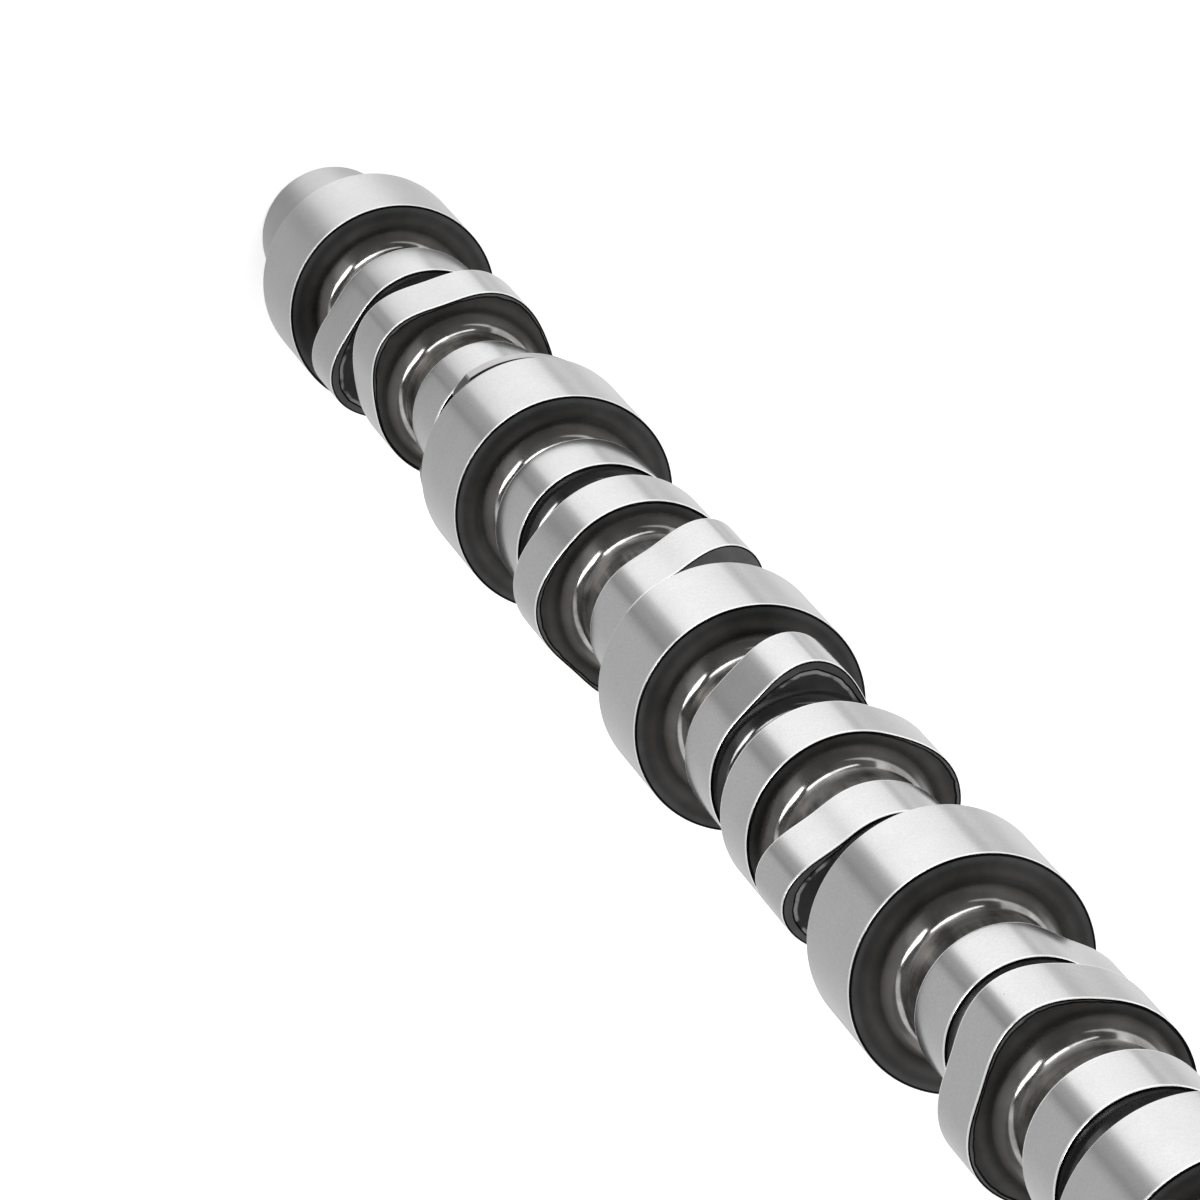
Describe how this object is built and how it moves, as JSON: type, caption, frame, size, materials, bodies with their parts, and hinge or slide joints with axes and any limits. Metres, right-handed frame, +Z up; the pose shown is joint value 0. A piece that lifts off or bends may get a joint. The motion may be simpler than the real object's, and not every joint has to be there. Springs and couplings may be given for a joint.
{
  "type": "camshaft",
  "caption": "Long one-piece steel camshaft: round bearing journals with valve lobes and low twin-bump engine brake lobes between them, and a plain spigot at each end.",
  "frame": {"origin": "centre of the rear spigot's end face, on the axis of the shaft, on which the shaft stands", "axes": "+Z up along the shaft towards its front, driven end; +X towards the nose of the rearmost exhaust lobe"},
  "size_m": [0.062, 0.0618, 1.067],
  "materials": {
    "steel": "ground and polished running surfaces, dark forged side faces and shaft"
  },
  "bodies": {
    "root": {"camshaft": "steel"}
  },
  "joints": []
}
